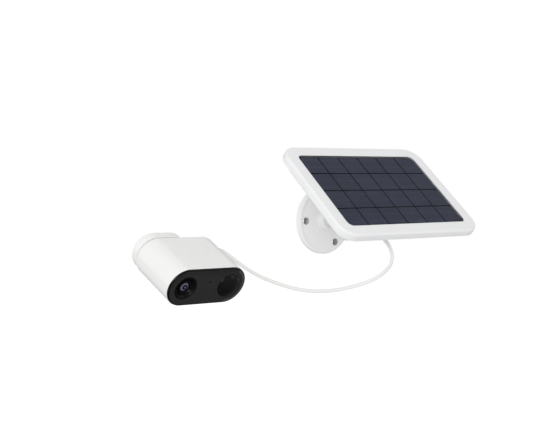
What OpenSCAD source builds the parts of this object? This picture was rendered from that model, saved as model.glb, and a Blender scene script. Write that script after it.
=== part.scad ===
// Solar-powered security camera.
// A solar panel on a wall bracket feeds a battery camera on its own small wall mount.
// +Z is up, the wall is the plane y = 0 and both mounts stand out from it towards -Y.
// The origin is the centre of the panel bracket's back face.

/* [Solar panel] */
// Width of the panel
panel_w = 183; // [150:1:230]
// Height of the panel along its slope
panel_h = 126; // [110:1:160]
// Thickness of the frame at its edge
panel_edge_t = 8; // [7:0.5:12]
// Radius of the panel's corners
panel_corner_r = 18; // [12:0.5:22]
// Chamfer round the frame's front edge
panel_edge_chamfer = 1.6; // [0.5:0.1:3]
// Width of the bezel at the sides
bezel_side = 13.4; // [11:0.1:20]
// Width of the bezel at the top and bottom
bezel_end = 13; // [11:0.1:20]
// Thickness of the glass
glass_t = 2; // [1.5:0.1:3]
// Corner radius of the glass
glass_corner_r = 6; // [3:0.5:10]
// Columns of cells
cell_columns = 6; // [3:1:10]
// Rows of cells
cell_rows = 4; // [2:1:6]
// Gap between neighbouring cells
cell_gap = 1.3; // [0.8:0.1:2]
// Depth of the rear cover behind the frame
back_depth = 8; // [6:0.5:12]
// Wall of the rear cover
back_wall = 2; // [1.6:0.1:2.6]
// Slope of the panel from horizontal
panel_tilt = 40.6; // [25:0.1:75]

/* [Panel bracket] */
// Radius of the wall disc
disc_r = 35; // [30:1:45]
// Thickness of the wall disc
disc_t = 6; // [5:0.5:9]
// Pitch circle of the disc's screw holes
disc_pcd = 53; // [46:1:58]
// Radius of the disc's screw holes
disc_hole_r = 2.2; // [1.8:0.1:2.8]
// Radius of the collar that carries the arm
collar_r = 10; // [9.5:0.5:13]
// Radius of the arm
arm_r = 7; // [6:0.5:8]
// Height of the tilt pivot in front of the wall
pivot_out = 62; // [56:0.2:75]
// Distance from the tilt pivot to the panel's front face
panel_reach = 44.7; // [42:0.1:52]
// Radius of the tilt pivot's pin
pivot_pin_r = 2.5; // [2:0.1:3]

/* [Camera body] */
// Width of the camera
camera_w = 83.6; // [80:0.1:96]
// Height of the camera
camera_h = 36.8; // [34:0.1:42]
// Depth of the camera from its face to its rear wall
camera_d = 57; // [50:0.1:64]
// Wall of the camera's shell
shell_wall = 2; // [1.6:0.1:2.4]
// Depth of the pack behind the left of the rear wall
pack_depth = 9.8; // [7:0.5:12]
// Width of that pack
pack_w = 51.8; // [46:1:58]
// Thickness of the front fascia
fascia_t = 3; // [2.5:0.1:4]
// Length of fascia that stands proud of the shell
fascia_proud = 1.8; // [1:0.1:2.4]
// Sideways place of the lens, left of the middle
lens_offset = 23.4; // [20:0.1:26]
// Sideways place of the motion sensor, right of the middle
pir_offset = 23.2; // [20:0.1:26]
// Radius of the lens surround
lens_ring_r = 11.2; // [10:0.1:12.5]
// Radius of the lens glass
lens_glass_r = 4.6; // [4:0.1:6]
// Radius of the motion sensor's dome
pir_r = 11.4; // [9:0.1:13]

/* [Camera mount] */
// Nose-down pitch of the camera
camera_pitch = 27.7; // [0:0.1:38]
// Turn of the camera towards the panel
camera_yaw = 2; // [-10:0.1:20]
// Radius of the wall base
base_r = 16; // [15:0.5:20]
// Thickness of the wall base
base_t = 4.5; // [4:0.5:6]
// Spacing of the wall base's screw holes
base_hole_spacing = 19; // [18:0.5:22]
// Radius of the mounting ball
ball_r = 7.5; // [7:0.1:8]
// Radius of the ball's neck
neck_r = 3.1; // [2.8:0.1:3.3]
// Thickness of the friction liner round the ball
liner_t = 1; // [0.8:0.1:1.2]

/* [Cable] */
// Diameter of the charging cable
cable_d = 3.8; // [3:0.1:4.5]

/* [Fits] */
// Clearance of a turning or sliding fit
run_gap = 0.06; // [0.02:0.01:0.1]
// Clearance round a piece that is set into a pocket
set_gap = 0.15; // [0.1:0.05:0.3]
// Clearance between pieces that move past each other
free_gap = 0.4; // [0.3:0.1:0.6]

/* [Hidden] */
$fn = 72;
hull_fn = 32;
eps = 0.01;

// Panel, in its own frame: z = 0 is the front face and +y runs up the slope.
glass_w = panel_w - 2 * bezel_side;
glass_h = panel_h - 2 * bezel_end;
glass_drop = 0.4;
glass_z = -glass_drop - glass_t;
cell_t = 0.4;
cell_border = 1.4;
backing_t = 1;
cell_z = glass_z - cell_t;
backing_z = cell_z - backing_t;
gasket_t = 0.6;
ledge_w = 4;
gasket_z = backing_z - gasket_t;
back_inset = 7;
back_w = panel_w - 2 * back_inset;
back_h = panel_h - 2 * back_inset;
back_corner_r = panel_corner_r - 8;
back_z = -panel_edge_t - back_depth;
back_screw_r = 1.6;
back_screw_inset = 8;
boss_r = 4.5;
stud_r = 3.1;
stud_boss_r = 9;
insert_r = 5;
insert_h = back_depth - 1.5;
insert_floor = 1;
lock_nut_r = 7.5;
lock_nut_h = 4;
eye_r = 7;
eye_w = 6;
knuckle_neck_r = 5;
junction = [23, 20, 11];
junction_x = -20.5;
junction_y = -20;
junction_z = back_z - junction[2];
gland_x = -19;
gland_z = back_z - 6.5;
gland_len = 11;
gland_r = 4.2;
gland_hole_r = 5;
junction_wall = 2;
junction_r = 3;
junction_chamfer = 1.4;
back_chamfer = 3;
head_sink = 2.4;
head_t = 1.6;
cable_r = cable_d / 2;

// Panel bracket, in the row frame.
disc_round = 2;
collar_len = 13;
post_r = arm_r - 1.5;
retainer_r = post_r + 1.8;
retainer_t = 1.6;
retainer_y = -2;
clevis_gap = eye_w + 2 * free_gap;
clevis_ear = 4;
clevis_w = clevis_gap + 2 * clevis_ear;
clevis_len = 16;
knob_r = 6.5;
knob_t = 5;
knob_grips = 12;
grip_r = 1.2;
grip_out = 0.4;
retainer_screw_r = 1.5;
retainer_screw_len = 6;
retainer_head_r = 3;
retainer_head_t = 1.4;
retainer_slot = [4, 2, 0.8];
retainer_slot_t = 0.7;
pin_head_r = 4.2;
pin_head_t = 2;
arm_root = 4;
collar_gap = 0.2;

// Camera, in its own frame: y = 0 is the front face, +y runs to the rear.
face_x = -204.5;
face_y = -84;
face_z = -50.2;
camera_roll = 0.8;
end_r = camera_h / 2;
inner_w = camera_w - 2 * shell_wall;
inner_h = camera_h - 2 * shell_wall;
shell_y = fascia_proud;
rear_in = camera_d - shell_wall;
pack_x = (pack_w - camera_w) / 2 + 1.4;
pack_h = camera_h - 0.8;
fascia_inset = 0.35;
fascia_rim = 1.2;
barrel_r = 7;
barrel_back = 15;
lens_cone_r = lens_ring_r - 1.6;
sensor_board = [22, 1.2, 22];
pir_board = [24, 1.2, 18];
battery = [62, 10, 27];
battery_y = 23.9;
tray_y = 22.4;
tray_t = 1.2;
sensor_y = barrel_back + 0.2;
board_y = 19.6;
main_board = [60, 1.2, 24];
mic_x = 1.5;
mic_z = 4.6;
mic_r = 0.9;
speaker_r = 10;
speaker_h = 4.5;
speaker_x = pack_x;
antenna_x = pack_x + 19.4;
shell_screw_r = 1.25;
shell_screws = [for (x = [-15.1, 14.4], z = [-8, 8]) [pack_x + x, z]];
port_x = 35.5;
port = [3.4, 6, 9.2];
port_wall = 0.4;
plug_body = [7.2, 8.2, 10];
plug_tip = [2.4, 5, 8.2];
plug_y = camera_d + 0.6;
plug_mid_y = plug_y + plug_body[1] / 2;
boot_len = 8;
boot_r = 3.2;
flap = [7.6, 1.6, 10.4];
flap_pin_r = 0.7;
flap_knuckle_r = 1.6;
flap_pin_y = camera_d + flap_knuckle_r + free_gap;
flap_pin_z = -plug_body[2] / 2 - flap_knuckle_r - free_gap;
lug_w = 1.2;
button_r = 3;
button_proud = 0.3;
socket_wall = 1.9;
rear_round = 2;
fascia_seal_t = 1;
pack_seal_t = 0.8;
screw_post_r = 2.6;
screw_head_r = 2.2;
screw_head_t = 1.4;
dome_h = 4.2;
dome_wall = 1.2;
led_r = 2;
led_x = -lens_offset + 15.5;
led_z = 7;
button_flange = 1;
button_stem_r = 1.1;
button_travel = 0.8;
button_x = 3;
button_y = 10;
switch = [6, 6, 3];
switch_z = -end_r + 6;
spring_r = 2;
spring_wire = 0.5;

// Ball mount: ball centre in the camera's frame, then in the row frame.
ball_x = 20.5;
ball_z = -9.5;
socket_in = ball_r + liner_t + 2 * run_gap;
socket_r = socket_in + socket_wall;
ball_y = camera_d + socket_r + 0.6;
mouth_half = 76;
ring_r = socket_r + 1.2;
flange_r = 7;
flange_t = 1.6;
socket_stud_r = 3;
insert_outer_r = 4.6;
liner_open = 64;
liner_end = 140;
insert_len = 6;
base_hole_r = 1.8;

function turn_x(p, a) = [p[0], p[1] * cos(a) - p[2] * sin(a), p[1] * sin(a) + p[2] * cos(a)];
function turn_y(p, a) = [p[0] * cos(a) + p[2] * sin(a), p[1], p[2] * cos(a) - p[0] * sin(a)];
function turn_z(p, a) = [p[0] * cos(a) - p[1] * sin(a), p[0] * sin(a) + p[1] * cos(a), p[2]];
function camera_point(p) =
    [face_x, face_y, face_z] + turn_z(turn_x(turn_y(p, camera_roll), camera_pitch), camera_yaw);

ball_at = camera_point([ball_x, ball_y, ball_z]);

// Route of the cable from the panel's gland to the camera's plug.
cable_route = [
    [-19, -108, -10.1], [-18.3, -111.7, -13.8], [-17, -115.8, -18.5], [-15, -119, -26],
    [-13, -117.5, -35], [-13.2, -111.5, -43], [-15.2, -103, -50], [-20, -95, -55],
    [-27.5, -88, -58.8], [-36, -82, -61.6], [-45.5, -77.5, -63.4], [-55.5, -73.5, -64.3],
    [-65.5, -70.5, -64.3], [-75.5, -67, -63.4], [-85.5, -63.5, -61.6], [-95, -60, -58.8],
    [-105, -57, -55.4], [-114.5, -54, -51.5], [-123.5, -50.5, -47], [-131.5, -46, -41.5],
    [-138, -40, -35.5], [-143, -34, -29.5], [-147.5, -29.5, -25], [-152.5, -27.5, -22.8],
    [-158.9, -27.4, -22.1]
];
cable_sides = 8;

// ---- Places ----
module in_panel() {
    translate([0, -pivot_out, 0]) rotate([panel_tilt, 0, 0]) translate([0, 0, panel_reach]) children();
}

module in_camera() {
    translate([face_x, face_y, face_z])
        rotate([0, 0, camera_yaw]) rotate([camera_pitch, 0, 0]) rotate([0, camera_roll, 0]) children();
}

// ---- Shapes ----
module rounded_rect(w, h, r) {
    square([w - 2 * r, h], center = true);
    square([w, h - 2 * r], center = true);
    for (x = [-1, 1], y = [-1, 1])
        translate([x * (w / 2 - r), y * (h / 2 - r)]) circle(r = r);
}

module plate(w, h, r, z, t) {
    translate([0, 0, z]) linear_extrude(t) rounded_rect(w, h, r);
}

// A plate whose face at z + t (or at z, when turned over) has a chamfered edge.
module chamfered_plate(w, h, r, z, t, c, turned = false) {
    full_z = turned ? z + c : z;
    edge_z = turned ? z : z + t - eps;
    hull() {
        plate(w, h, r, full_z, t - c, $fn = hull_fn);
        plate(w - 2 * c, h - 2 * c, r - c, edge_z, eps, $fn = hull_fn);
    }
}

module stadium(w, h) {
    square([w - h, h], center = true);
    for (x = [-1, 1]) translate([x * (w - h) / 2, 0]) circle(d = h);
}

module along_y(y, t) {
    translate([0, y, 0]) rotate([-90, 0, 0]) linear_extrude(t) children();
}

module rod_y(r, y, t) {
    translate([0, y, 0]) rotate([-90, 0, 0]) cylinder(r = r, h = t);
}

module rod_x(r, x, t) {
    translate([x, 0, 0]) rotate([0, 90, 0]) cylinder(r = r, h = t);
}

module box(size) {
    translate([-size[0] / 2, 0, -size[2] / 2]) cube(size);
}

// A countersunk hole from the front of a wall plate of thickness t that stands on y = 0.
module countersunk_y(r, t) {
    rod_y(r, -t - 1, t + 2);
    translate([0, -t - eps, 0]) rotate([-90, 0, 0]) cylinder(r1 = 2 * r - 0.6, r2 = r, h = r);
}

module stadium_block(w, h, y, t, c) {
    hull() {
        along_y(y, t - c) stadium(w, h, $fn = hull_fn);
        along_y(y + t - eps, eps) stadium(w - 2 * c, h - 2 * c, $fn = hull_fn);
    }
}

// ---- Panel bracket ----
module bracket_base() color("whitesmoke") difference() {
    union() {
        rotate([90, 0, 0]) rotate_extrude() {
            square([disc_r - disc_round, disc_t]);
            square([disc_r, disc_t - disc_round]);
            translate([disc_r - disc_round, disc_t - disc_round]) circle(r = disc_round);
            square([collar_r, collar_len]);
        }
    }
    rod_y(post_r + run_gap, -collar_len - 1, collar_len + 2);
    rod_y(retainer_r + free_gap, retainer_y - retainer_t, 5);
    for (a = [60, 180, 300])
        translate([disc_pcd / 2 * cos(a), 0, disc_pcd / 2 * sin(a)]) countersunk_y(disc_hole_r, disc_t);
}

module arm_post() color("gainsboro") difference() {
    union() {
        rod_y(post_r, -collar_len - 1, collar_len + 1 + retainer_y - retainer_t);
        rod_y(arm_r, -pivot_out + clevis_len - arm_root,
            pivot_out - clevis_len + arm_root - collar_len - collar_gap);
        translate([0, -pivot_out, 0]) {
            rod_x(arm_r, -clevis_w / 2, clevis_w);
            translate([-clevis_w / 2, 0, -arm_r]) cube([clevis_w, clevis_len, 2 * arm_r]);
        }
    }
    translate([-clevis_gap / 2, -pivot_out - arm_r - 1, -arm_r - 1])
        cube([clevis_gap, 2 * arm_r + 2, 2 * arm_r + 2]);
    translate([0, -pivot_out, 0]) rod_x(pivot_pin_r + run_gap, -clevis_w, 2 * clevis_w);
    rod_y(retainer_screw_r + run_gap, retainer_y - retainer_t - retainer_screw_len - 2, 20);
}

module post_retainer() color("silver") difference() {
    rod_y(retainer_r, retainer_y - retainer_t, retainer_t);
    rod_y(retainer_screw_r + run_gap, retainer_y - retainer_t - 1, retainer_t + 2);
}

module retainer_screw() color("silver") difference() {
    union() {
        rod_y(retainer_screw_r, retainer_y - retainer_t - retainer_screw_len,
            retainer_screw_len + retainer_t + eps);
        rod_y(retainer_head_r, retainer_y, retainer_head_t);
    }
    translate([0, retainer_y + retainer_head_t - retainer_slot_t, 0]) box(retainer_slot);
}

module pivot_pin() color("silver") translate([0, -pivot_out, 0]) {
    rod_x(pivot_pin_r, -clevis_w / 2 - eps, clevis_w + knob_t);
    rod_x(pin_head_r, -clevis_w / 2 - pin_head_t, pin_head_t);
}

module pivot_knob() color("gainsboro") translate([0, -pivot_out, 0]) difference() {
    rod_x(knob_r, clevis_w / 2, knob_t);
    rod_x(pivot_pin_r + run_gap, clevis_w / 2 - 1, knob_t + 2);
    for (i = [0 : knob_grips - 1])
        rotate([i * 360 / knob_grips, 0, 0]) translate([0, knob_r + grip_out, 0])
            rod_x(grip_r, clevis_w / 2 + 1, knob_t);
}

module panel_knuckle() color("gainsboro") in_panel() difference() {
    union() {
        translate([0, 0, -panel_reach]) {
            rod_x(eye_r, -eye_w / 2, eye_w);
            translate([-eye_w / 2, -eye_w / 2 - 1, 0]) cube([eye_w, eye_w + 2, eye_r + 5]);
        }
        translate([0, 0, -panel_reach + eye_r + 4.4])
            cylinder(r = knuckle_neck_r, h = panel_reach + back_z - lock_nut_h - eye_r - 4.4);
        translate([0, 0, back_z - lock_nut_h - eps])
            cylinder(r = stud_r, h = lock_nut_h + insert_h - insert_floor - set_gap);
    }
    translate([0, 0, -panel_reach]) rod_x(pivot_pin_r + run_gap, -eye_w, 2 * eye_w);
}

module lock_nut() color("silver") in_panel() translate([0, 0, back_z - lock_nut_h]) difference() {
    cylinder(r = lock_nut_r, h = lock_nut_h);
    translate([0, 0, -1]) cylinder(r = stud_r + run_gap, h = lock_nut_h + 2);
    for (i = [0 : knob_grips - 1])
        rotate(i * 360 / knob_grips) translate([lock_nut_r + grip_out, 0, -1])
            cylinder(r = grip_r, h = lock_nut_h + 2);
}

module stud_insert() color("goldenrod") in_panel() translate([0, 0, back_z]) difference() {
    cylinder(r = insert_r, h = insert_h);
    translate([0, 0, -insert_floor]) cylinder(r = stud_r + run_gap, h = insert_h);
}

// ---- Solar panel ----
module at_back_screws() {
    for (x = [-1, 0, 1], y = [-1, 1])
        translate([x * (back_w / 2 - back_screw_inset), y * (back_h / 2 - back_screw_inset), 0]) children();
}

module panel_frame() color("white") in_panel() difference() {
    chamfered_plate(panel_w, panel_h, panel_corner_r, -panel_edge_t, panel_edge_t, panel_edge_chamfer);
    plate(glass_w, glass_h, glass_corner_r, gasket_z, panel_edge_t);
    plate(glass_w - 2 * ledge_w, glass_h - 2 * ledge_w, glass_corner_r - 2, -panel_edge_t - 1, panel_edge_t);
    at_back_screws() translate([0, 0, -panel_edge_t - 1]) cylinder(r = back_screw_r + run_gap, h = 4);
}

module panel_glass() color([0.05, 0.06, 0.09, 0.4]) in_panel()
    plate(glass_w - 2 * set_gap, glass_h - 2 * set_gap, glass_corner_r, glass_z, glass_t);

module solar_cells() color([0.20, 0.22, 0.29]) in_panel() {
    field_w = glass_w - 2 * cell_border;
    field_h = glass_h - 2 * cell_border;
    step_x = (field_w + cell_gap) / cell_columns;
    step_y = (field_h + cell_gap) / cell_rows;
    intersection() {
        plate(field_w, field_h, glass_corner_r - cell_border, cell_z, cell_t);
        for (i = [0 : cell_columns - 1], j = [0 : cell_rows - 1])
            translate([-field_w / 2 + i * step_x, -field_h / 2 + j * step_y, cell_z - 1])
                cube([step_x - cell_gap, step_y - cell_gap, cell_t + 2]);
    }
}

module cell_backing() color([0.04, 0.04, 0.05]) in_panel()
    plate(glass_w - 2 * set_gap, glass_h - 2 * set_gap, glass_corner_r, backing_z, backing_t);

module glass_gasket() color("dimgray") in_panel() difference() {
    plate(glass_w - 2 * set_gap, glass_h - 2 * set_gap, glass_corner_r, gasket_z, gasket_t);
    plate(glass_w - 2 * ledge_w, glass_h - 2 * ledge_w, glass_corner_r - 2, gasket_z - 1, gasket_t + 2);
}

module panel_back() color("whitesmoke") in_panel() difference() {
    union() {
        difference() {
            chamfered_plate(back_w, back_h, back_corner_r, back_z, back_depth, back_chamfer, turned = true);
            plate(back_w - 2 * back_wall - 4, back_h - 2 * back_wall - 4, back_corner_r - back_wall,
                back_z + back_wall, back_depth);
        }
        at_back_screws() translate([0, 0, back_z + 0.5]) cylinder(r = boss_r, h = back_depth - 0.5);
        translate([0, 0, back_z]) cylinder(r = stud_boss_r, h = back_depth);
    }
    at_back_screws() {
        translate([0, 0, back_z - 1]) cylinder(r = 2 * back_screw_r - 0.2, h = 5);
        translate([0, 0, back_z]) cylinder(r = back_screw_r + set_gap, h = back_depth + 1);
    }
    translate([0, 0, back_z - 1]) cylinder(r = insert_r + run_gap, h = insert_h + 1);
    translate([junction_x, junction_y, back_z - 1]) cylinder(r = gland_hole_r, h = back_wall + 2);
}

module back_screws() color("silver") in_panel() at_back_screws() {
    translate([0, 0, back_z + head_sink]) cylinder(r = 2 * back_screw_r - 0.6, h = head_t);
    translate([0, 0, back_z + head_sink + 0.1]) cylinder(r = back_screw_r, h = back_depth - head_sink + 2.5);
}

module junction_cover() color("whitesmoke") in_panel() translate([junction_x, junction_y, junction_z])
    difference() {
        chamfered_plate(junction[0], junction[1], junction_r, 0, junction[2], junction_chamfer, turned = true);
        plate(junction[0] - 2 * junction_wall, junction[1] - 2 * junction_wall, junction_r / 2, junction_wall,
            junction[2]);
        translate([gland_x - junction_x, 0, gland_z - junction_z]) rotate([90, 0, 0])
            cylinder(r = cable_r + 0.6, h = junction[1]);
    }

module junction_board() color("seagreen") in_panel()
    translate([junction_x - 7, junction_y - 5, back_z - 1.2]) {
        cube([14, 10, 1.2]);
        translate([2, 2, -1.6]) cube([4, 6, 1.7]);
    }

module cable_gland() color("white") in_panel()
    translate([gland_x, junction_y - junction[1] / 2, gland_z]) rotate([90, 0, 0]) {
        cylinder(r1 = gland_r, r2 = cable_r + 0.8, h = gland_len);
        translate([0, 0, -3]) cylinder(r = cable_r + 0.5, h = 3 + eps);
    }

// ---- Cable ----
function unit(v) = v / norm(v);
function tangent(p, i) = unit(p[min(i + 1, len(p) - 1)] - p[max(i - 1, 0)]);
function ring(p, i, r, n) =
    let (t = tangent(p, i), u = unit(cross(t, [0, 0, 1])), v = cross(t, u))
    [for (k = [0 : n - 1]) p[i] + r * (cos(k * 360 / n) * u + sin(k * 360 / n) * v)];

module cable() color("white") {
    n = cable_sides;
    last = len(cable_route) - 1;
    points = [for (i = [0 : last]) each ring(cable_route, i, cable_r, n)];
    sides = [for (i = [0 : last - 1], k = [0 : n - 1])
        [i * n + k, i * n + (k + 1) % n, (i + 1) * n + (k + 1) % n, (i + 1) * n + k]];
    ends = [[for (k = [n - 1 : -1 : 0]) k], [for (k = [0 : n - 1]) last * n + k]];
    polyhedron(points, concat(sides, ends), convexity = 8);
}

module plug_boot() color("white") in_camera() {
    translate([port_x, plug_y, 0]) box(plug_body);
    translate([port_x + plug_body[0] / 2 - eps, plug_mid_y, 0]) rotate([0, 90, 0])
        cylinder(r1 = boot_r, r2 = cable_r + 0.5, h = boot_len);
}

module plug_shell() color("silver") in_camera() translate([port_x, plug_y - plug_tip[1], 0]) box(plug_tip);

// ---- Camera mount ----
module camera_base() color("whitesmoke") translate([ball_at[0], 0, ball_at[2]]) difference() {
    rotate([90, 0, 0]) rotate_extrude() {
        square([base_r - 1.2, base_t]);
        square([base_r, base_t - 1.2]);
        translate([base_r - 1.2, base_t - 1.2]) circle(r = 1.2);
        square([5.2, base_t + 3.5]);
    }
    rod_y(neck_r + run_gap, -base_t - 5, base_t + 3.5);
    for (z = [-1, 1]) translate([0, 0, z * base_hole_spacing / 2]) countersunk_y(base_hole_r, base_t);
}

module ball_arm() color("silver") translate(ball_at) {
    sphere(r = ball_r);
    rod_y(neck_r, 0, -ball_at[1] - 1.6);
}

module in_swivel() {
    translate(ball_at) rotate([0, 0, camera_yaw]) children();
}

module ball_liner() color("dimgray") in_swivel() rotate([-90, 0, 0]) rotate_extrude() {
    r0 = ball_r + run_gap;
    r1 = r0 + liner_t;
    turns = [for (a = [liner_open : 4 : liner_end]) a];
    polygon(concat(
        [for (a = turns) r0 * [sin(a), cos(a)]],
        [for (i = [len(turns) - 1 : -1 : 0]) r1 * [sin(turns[i]), cos(turns[i])]]
    ));
}

module ball_socket() color("dimgray") in_camera() translate([ball_x, ball_y, ball_z]) difference() {
    union() {
        sphere(r = socket_r);
        rod_y(flange_r, camera_d - ball_y, flange_t);
        rod_y(socket_stud_r, camera_d - ball_y - insert_len + 0.5, insert_len);
    }
    sphere(r = socket_in);
    rotate([-90, 0, 0]) cylinder(r1 = 0, r2 = 20 * tan(mouth_half), h = 20);
}

module socket_ring() color("dimgray") in_camera() translate([ball_x, ball_y, ball_z]) difference() {
    rod_y(ring_r, -1.6, 3);
    rod_y(socket_r + run_gap, -3, 6);
    for (i = [0 : 2 * knob_grips - 1])
        rotate([0, i * 180 / knob_grips, 0]) translate([ring_r + 0.5, 0, 0]) rod_y(0.9, -3, 6);
}

module socket_insert() color("goldenrod") in_camera() translate([ball_x, 0, ball_z]) difference() {
    rod_y(insert_outer_r, camera_d - insert_len, insert_len);
    rod_y(socket_stud_r + run_gap, camera_d - insert_len - 1, insert_len + 2);
}

// ---- Camera body ----
module at_shell_screws() {
    for (p = shell_screws) translate([p[0], 0, p[1]]) children();
}

module camera_shell() color("whitesmoke") in_camera() difference() {
    union() {
        difference() {
            stadium_block(camera_w, camera_h, shell_y, camera_d - shell_y, rear_round);
            along_y(shell_y - 1, rear_in - shell_y + 1) stadium(inner_w, inner_h);
        }
        translate([ball_x, 0, ball_z]) rod_y(insert_outer_r + 2, camera_d - insert_len, insert_len);
        for (x = [-1, 1])
            translate([port_x + x * (flap[0] / 2 + free_gap + lug_w / 2), camera_d - 0.5, flap_pin_z])
            box([lug_w, flap_pin_y - camera_d + flap_pin_r + 1.2, 3.2]);
    }
    translate([ball_x, 0, ball_z]) rod_y(insert_outer_r + run_gap, camera_d - insert_len - 1, insert_len + 2);
    translate([port_x, rear_in - 1, 0]) box([port[0] + 2 * set_gap, 5, port[2] + 2 * set_gap]);
    translate([port_x - flap[0], flap_pin_y, flap_pin_z]) rod_x(flap_pin_r + run_gap, 0, 2 * flap[0]);
    at_shell_screws() rod_y(shell_screw_r + set_gap, rear_in - 1, 5);
    translate([button_x, button_y, -end_r - 1]) cylinder(r = button_r + run_gap, h = 5);
}

module battery_pack() color("whitesmoke") in_camera() difference() {
    union() {
        difference() {
            translate([pack_x, 0, 0]) stadium_block(pack_w, pack_h, camera_d, pack_depth, rear_round);
            translate([pack_x, 0, 0]) along_y(camera_d - 1, pack_depth - shell_wall + 1)
                stadium(pack_w - 2 * shell_wall, pack_h - 2 * shell_wall);
        }
        at_shell_screws() rod_y(screw_post_r, camera_d, pack_depth - 1);
    }
    at_shell_screws() rod_y(shell_screw_r + run_gap, camera_d - 1, pack_depth - 1.2);
}

module pack_seal() color("dimgray") in_camera() translate([pack_x, 0, 0]) difference() {
    along_y(camera_d, pack_seal_t)
        stadium(pack_w - 2 * shell_wall - 2 * set_gap, pack_h - 2 * shell_wall - 2 * set_gap);
    along_y(camera_d - 1, 3) stadium(pack_w - 2 * shell_wall - 2.4, pack_h - 2 * shell_wall - 2.4);
}

module shell_screws_set() color("silver") in_camera() at_shell_screws() {
    rod_y(screw_head_r, rear_in - screw_head_t, screw_head_t);
    rod_y(shell_screw_r, rear_in - eps, 7);
}

module front_fascia() color([0.12, 0.12, 0.12]) in_camera() difference() {
    union() {
        hull() {
            along_y(fascia_rim, fascia_proud - fascia_rim)
                stadium(camera_w - 2 * fascia_inset, camera_h - 2 * fascia_inset, $fn = hull_fn);
            along_y(0, eps) stadium(camera_w - 2 * fascia_inset - 2 * fascia_rim,
                camera_h - 2 * fascia_inset - 2 * fascia_rim, $fn = hull_fn);
        }
        along_y(fascia_proud - eps, fascia_t - fascia_proud)
            stadium(inner_w - 2 * set_gap, inner_h - 2 * set_gap);
    }
    translate([-lens_offset, 0, 0]) rod_y(lens_ring_r + set_gap, -1, fascia_t + 2);
    translate([pir_offset, 0, 0]) rod_y(pir_r + set_gap, -1, fascia_t + 2);
    translate([mic_x, 0, mic_z]) rod_y(mic_r, -1, fascia_t + 2);
}

module fascia_seal() color("dimgray") in_camera() difference() {
    along_y(fascia_t, fascia_seal_t) stadium(inner_w - 2 * set_gap, inner_h - 2 * set_gap);
    along_y(fascia_t - 1, 3) stadium(inner_w - 3, inner_h - 3);
}

module lens_ring() color([0.08, 0.08, 0.09]) in_camera() translate([-lens_offset, 0, 0])
    rotate([-90, 0, 0]) rotate_extrude() polygon([
        [lens_ring_r, 0.4], [lens_ring_r, 4.5], [barrel_r + set_gap, 4.5], [barrel_r + set_gap, 2.6],
        [lens_cone_r, 0.4]
    ]);

module lens_barrel() color([0.05, 0.05, 0.06]) in_camera() translate([-lens_offset, 0, 0]) difference() {
    rod_y(barrel_r, 1.2, barrel_back - 1.2);
    rod_y(lens_glass_r + set_gap, 0, 4);
    rod_y(3, 3, barrel_back);
}

module lens_glass() color([0.2, 0.2, 0.35, 0.5]) in_camera() translate([-lens_offset, 0, 0]) intersection() {
    rod_y(lens_glass_r, 0, 4);
    translate([0, 1.6 + 1.6 * lens_glass_r, 0]) sphere(r = 1.6 * lens_glass_r);
}

module image_sensor() color("darkslategray") in_camera()
    translate([-lens_offset, sensor_y, 0]) box([8, 1.2, 7]);

module sensor_board() color("seagreen") in_camera()
    translate([-lens_offset, sensor_y + 1.2, 0]) box(sensor_board);

module pir_dome() color([0.07, 0.07, 0.07]) in_camera() translate([pir_offset, 0, 0]) {
    dome_r = (pir_r * pir_r + dome_h * dome_h) / (2 * dome_h);
    difference() {
        intersection() {
            rod_y(pir_r, -dome_h, dome_h + 2);
            translate([0, dome_r - dome_h, 0]) sphere(r = dome_r);
        }
        translate([0, dome_r - dome_h, 0]) sphere(r = dome_r - dome_wall);
        rod_y(pir_r - dome_wall, 0.6, 4);
    }
}

module pir_sensor() color("silver") in_camera() translate([pir_offset, 0, 0]) {
    rod_y(4.1, 7, 4);
    rod_y(4.6, 10.4, 1.2);
}

module pir_board() color("seagreen") in_camera() translate([pir_offset, 11.6, 0]) box(pir_board);

module microphone() color("darkslategray") in_camera() translate([mic_x, 0, mic_z]) rod_y(2.2, fascia_t, 1.6);

module infrared_leds() color("dimgray") in_camera()
    for (z = [-led_z, led_z]) translate([led_x, 0, z]) rod_y(led_r, fascia_t, 4);

module main_board() color("seagreen") in_camera() {
    translate([0, board_y, 0]) box(main_board);
    for (x = [-18, 2, 20]) translate([x, board_y - 1.4, 2]) box([9, 1.5, 9]);
}

module battery_cells() color("steelblue") in_camera()
    for (i = [0, 1]) translate([0, battery_y + i * (battery[1] + 0.4), 0]) box(battery);

module battery_tray() color("gray") in_camera() difference() {
    along_y(tray_y, tray_t) stadium(inner_w - 2 * set_gap, inner_h - 2 * set_gap);
    translate([-30, tray_y - 1, 0]) box([8, 4, 10]);
}

module speaker() color("dimgray") in_camera() translate([speaker_x, 0, 0]) {
    rod_y(speaker_r, camera_d + 1, speaker_h);
    rod_y(speaker_r - 4, camera_d + 0.2, 1);
}

module antenna() color("goldenrod") in_camera() translate([antenna_x, camera_d + 1.5, 0]) box([3, 0.6, 12]);

module usb_port() color("silver") in_camera() translate([port_x, camera_d - port[1], 0]) difference() {
    box(port);
    translate([0, 1, 0]) box([port[0] - 2 * port_wall, port[1], port[2] - 2 * port_wall]);
}

module port_flap() color("lightgray") in_camera() translate([port_x, flap_pin_y, flap_pin_z]) difference() {
    union() {
        translate([-flap[0] / 2, 0, 0]) rod_x(flap_knuckle_r, 0, flap[0]);
        translate([-flap[0] / 2, -flap[1] / 2, -flap[2]]) cube(flap);
    }
    translate([-flap[0], 0, 0]) rod_x(flap_pin_r + run_gap, 0, 2 * flap[0]);
}

module flap_pin() color("silver") in_camera() translate([port_x, flap_pin_y, flap_pin_z])
    rod_x(flap_pin_r, -flap[0] / 2 - free_gap - lug_w, flap[0] + 2 * free_gap + 2 * lug_w);

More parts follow.
